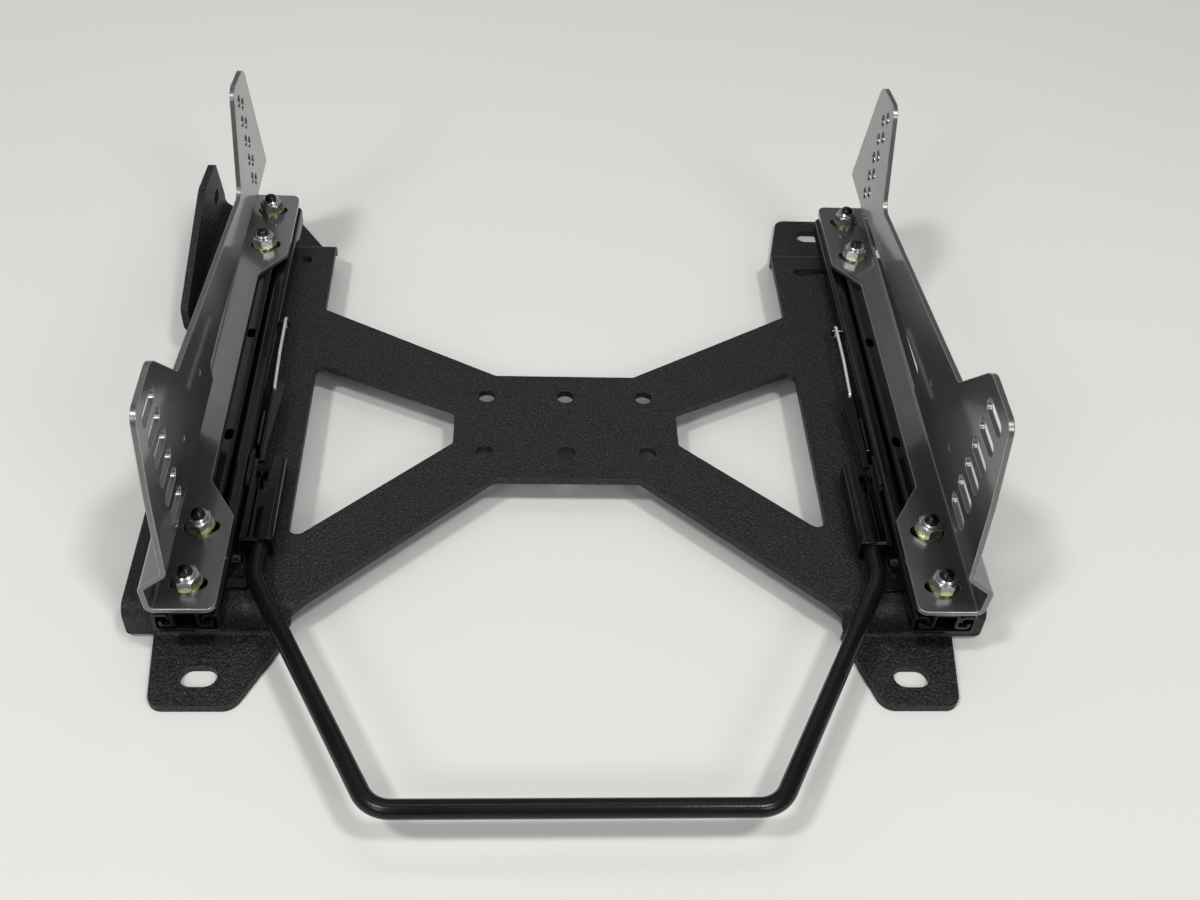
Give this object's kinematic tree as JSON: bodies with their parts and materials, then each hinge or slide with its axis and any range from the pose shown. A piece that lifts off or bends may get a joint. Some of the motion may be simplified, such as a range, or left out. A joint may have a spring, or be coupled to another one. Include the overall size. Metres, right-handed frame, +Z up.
{
  "type": "sliding seat mount",
  "caption": "Sliding car seat mount: X-shaped floor plate with bent feet, twin locking slider rails, folded side mounts and a lift-to-release bar.",
  "frame": {"origin": "centre of the floor plate's bolt hole pattern, on the plate's top face", "axes": "+X to the seat's right, +Y to the rear of the car, +Z up"},
  "size_m": [0.4847, 0.5264, 0.168],
  "materials": {
    "plate_black": "fine wrinkle powder coat, satin",
    "rail_black": "smooth gloss black coat",
    "lever_black": "gloss black paint",
    "bar_black": "semi-gloss black coat",
    "mount_grey": "gloss clear coat over dark grey metal",
    "stud_black": "black oxide, rounded ends",
    "zinc_yellow": "yellow zinc plate",
    "zinc_bright": "bright zinc plate",
    "nylon": "dark nylon",
    "cage_steel": "oiled strip steel",
    "ball_steel": "polished bearing steel",
    "wire_steel": "bright spring wire"
  },
  "bodies": {
    "base": {"floor_plate": "plate_black", "left_lower_rail": "rail_black", "right_lower_rail": "rail_black", "rail_bolts": "zinc_bright", "rail_nuts": "zinc_bright", "left_latch_bracket": "rail_black", "left_lever_pivot": "lever_black", "left_spring_stud": "lever_black", "left_stop_rivet": "lever_black", "left_latch_spring": "wire_steel", "right_latch_bracket": "rail_black", "right_lever_pivot": "lever_black", "right_spring_stud": "lever_black", "right_stop_rivet": "lever_black", "right_latch_spring": "wire_steel"},
    "left_carriage": {"left_upper_rail": "rail_black", "left_side_mount": "mount_grey", "left_mount_studs": "stud_black", "left_mount_washers": "zinc_yellow", "left_mount_nuts": "zinc_bright", "left_nut_inserts": "nylon"},
    "left_bearing": {"left_ball_cages": "cage_steel", "left_roller_cages": "cage_steel", "left_bearing_balls": "ball_steel", "left_bearing_rollers": "ball_steel"},
    "left_latch": {"left_lever": "lever_black", "left_lock_pawl": "lever_black", "left_pawl_rivets": "lever_black", "release_bar": "bar_black"},
    "right_carriage": {"right_upper_rail": "rail_black", "right_side_mount": "mount_grey", "right_mount_studs": "stud_black", "right_mount_washers": "zinc_yellow", "right_mount_nuts": "zinc_bright", "right_nut_inserts": "nylon"},
    "right_bearing": {"right_ball_cages": "cage_steel", "right_roller_cages": "cage_steel", "right_bearing_balls": "ball_steel", "right_bearing_rollers": "ball_steel"},
    "right_latch": {"right_lever": "lever_black", "right_lock_pawl": "lever_black", "right_pawl_rivets": "lever_black"}
  },
  "joints": [
    {"name": "left_slide", "type": "slide", "parent": "base", "child": "left_carriage", "axis": [0, 1, 0], "range_m": [-0.09, 0.09]},
    {"name": "left_bearing_roll", "type": "slide", "parent": "base", "child": "left_bearing", "axis": [0, 1, 0], "range_m": [-0.045, 0.045]},
    {"name": "left_latch_lift", "type": "hinge", "parent": "base", "child": "left_latch", "pos_m": [-0.1823, -0.052, 0.01], "axis": [-1, 0, 0], "range_deg": [0, 4], "stiffness_Nm_per_rad": 0.4, "deforming": ["left_latch_spring"]},
    {"name": "right_slide", "type": "slide", "parent": "base", "child": "right_carriage", "axis": [0, 1, 0], "range_m": [-0.09, 0.09]},
    {"name": "right_bearing_roll", "type": "slide", "parent": "base", "child": "right_bearing", "axis": [0, 1, 0], "range_m": [-0.045, 0.045]},
    {"name": "right_latch_lift", "type": "hinge", "parent": "base", "child": "right_latch", "pos_m": [0.1823, -0.052, 0.01], "axis": [-1, 0, 0], "range_deg": [0, 4], "stiffness_Nm_per_rad": 0.4, "deforming": ["right_latch_spring"]}
  ],
  "couplings": [
    {"joint": "right_slide", "follows": "left_slide", "ratio": 1},
    {"joint": "left_bearing_roll", "follows": "left_slide", "ratio": 0.5},
    {"joint": "right_bearing_roll", "follows": "left_slide", "ratio": 0.5},
    {"joint": "right_latch_lift", "follows": "left_latch_lift", "ratio": 1}
  ]
}
